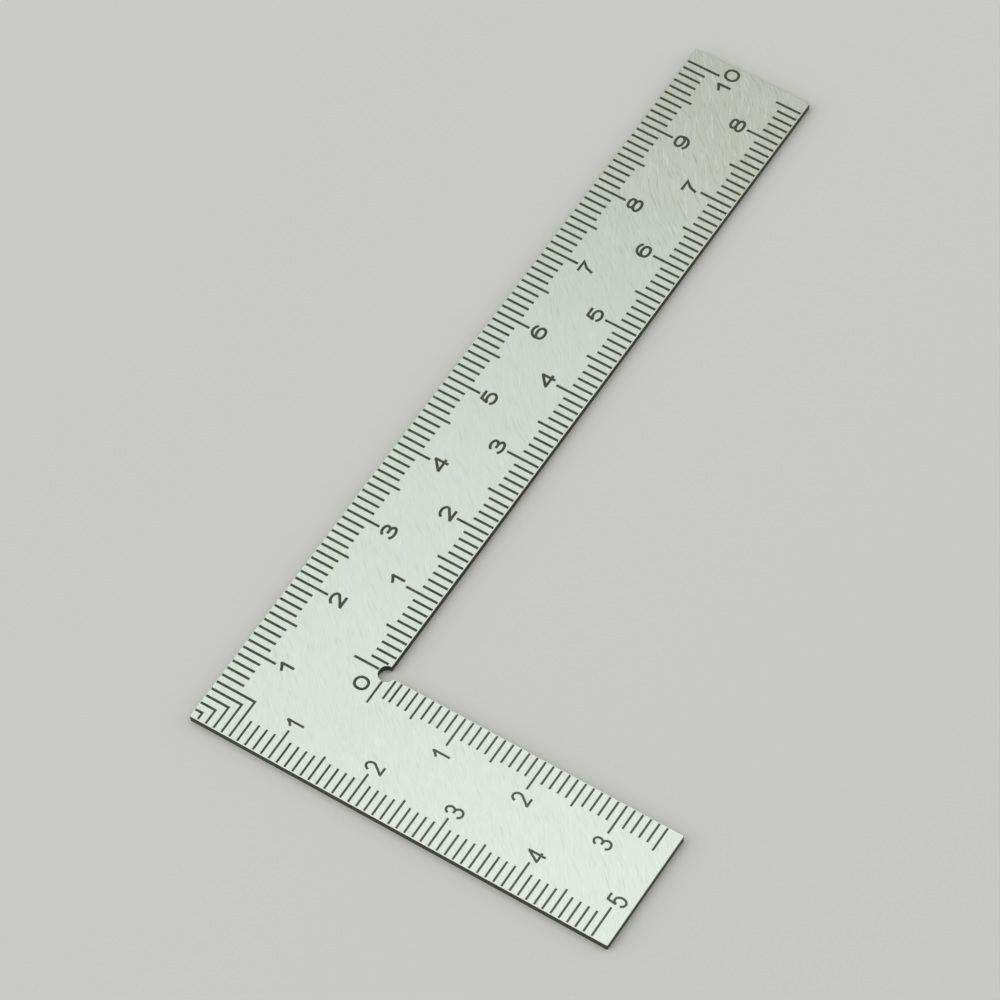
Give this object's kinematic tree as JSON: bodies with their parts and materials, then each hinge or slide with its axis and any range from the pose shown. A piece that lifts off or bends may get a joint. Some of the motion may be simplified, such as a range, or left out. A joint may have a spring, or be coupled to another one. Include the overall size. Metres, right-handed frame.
{
  "type": "square ruler",
  "caption": "Flat L-shaped steel square ruler with black-filled etched millimetre scales along every long edge and a relief hole at the inner corner.",
  "frame": {"origin": "bottom centre of the bounding box, on the plain underside", "axes": "+X along the long arm away from the heel (the outer corner), -Y the way the short arm points, +Z out of the graduated face"},
  "size_m": [0.102, 0.052, 0.001],
  "materials": {
    "steel": "finely brushed stainless, slightly warm green-white, with fine slanting scratches and bright deburred edges",
    "scale_fill": "matte black enamel, a little worn"
  },
  "bodies": {
    "root": {"fill_line_long_inner_10mm": "scale_fill", "fill_line_long_inner_20mm": "scale_fill", "fill_line_long_inner_30mm": "scale_fill", "fill_line_long_inner_40mm": "scale_fill", "fill_line_long_inner_50mm": "scale_fill", "fill_line_long_inner_60mm": "scale_fill", "fill_line_long_inner_70mm": "scale_fill", "fill_line_long_inner_80mm": "scale_fill", "fill_line_long_inner_zero": "scale_fill", "fill_line_long_outer_100mm": "scale_fill", "fill_line_long_outer_10mm": "scale_fill", "fill_line_long_outer_20mm": "scale_fill", "fill_line_long_outer_30mm": "scale_fill", "fill_line_long_outer_40mm": "scale_fill", "fill_line_long_outer_50mm": "scale_fill", "fill_line_long_outer_60mm": "scale_fill", "fill_line_long_outer_70mm": "scale_fill", "fill_line_long_outer_80mm": "scale_fill", "fill_line_long_outer_90mm": "scale_fill", "fill_line_short_inner_10mm": "scale_fill", "fill_line_short_inner_20mm": "scale_fill", "fill_line_short_inner_30mm": "scale_fill", "fill_line_short_inner_zero": "scale_fill", "fill_line_short_outer_10mm": "scale_fill", "fill_line_short_outer_20mm": "scale_fill", "fill_line_short_outer_30mm": "scale_fill", "fill_line_short_outer_40mm": "scale_fill", "fill_line_short_outer_50mm": "scale_fill", "fill_numeral_long_inner_1": "scale_fill", "fill_numeral_long_inner_2": "scale_fill", "fill_numeral_long_inner_3": "scale_fill", "fill_numeral_long_inner_4": "scale_fill", "fill_numeral_long_inner_5": "scale_fill", "fill_numeral_long_inner_6": "scale_fill", "fill_numeral_long_inner_7": "scale_fill", "fill_numeral_long_inner_8": "scale_fill", "fill_numeral_long_outer_1": "scale_fill", "fill_numeral_long_outer_10_digit_0": "scale_fill", "fill_numeral_long_outer_10_digit_1": "scale_fill", "fill_numeral_long_outer_2": "scale_fill", "fill_numeral_long_outer_3": "scale_fill", "fill_numeral_long_outer_4": "scale_fill", "fill_numeral_long_outer_5": "scale_fill", "fill_numeral_long_outer_6": "scale_fill", "fill_numeral_long_outer_7": "scale_fill", "fill_numeral_long_outer_8": "scale_fill", "fill_numeral_long_outer_9": "scale_fill", "fill_numeral_shared_zero": "scale_fill", "fill_numeral_short_inner_1": "scale_fill", "fill_numeral_short_inner_2": "scale_fill", "fill_numeral_short_inner_3": "scale_fill", "fill_numeral_short_outer_1": "scale_fill", "fill_numeral_short_outer_2": "scale_fill", "fill_numeral_short_outer_3": "scale_fill", "fill_numeral_short_outer_4": "scale_fill", "fill_numeral_short_outer_5": "scale_fill", "square_plate": "steel"}
  },
  "joints": []
}
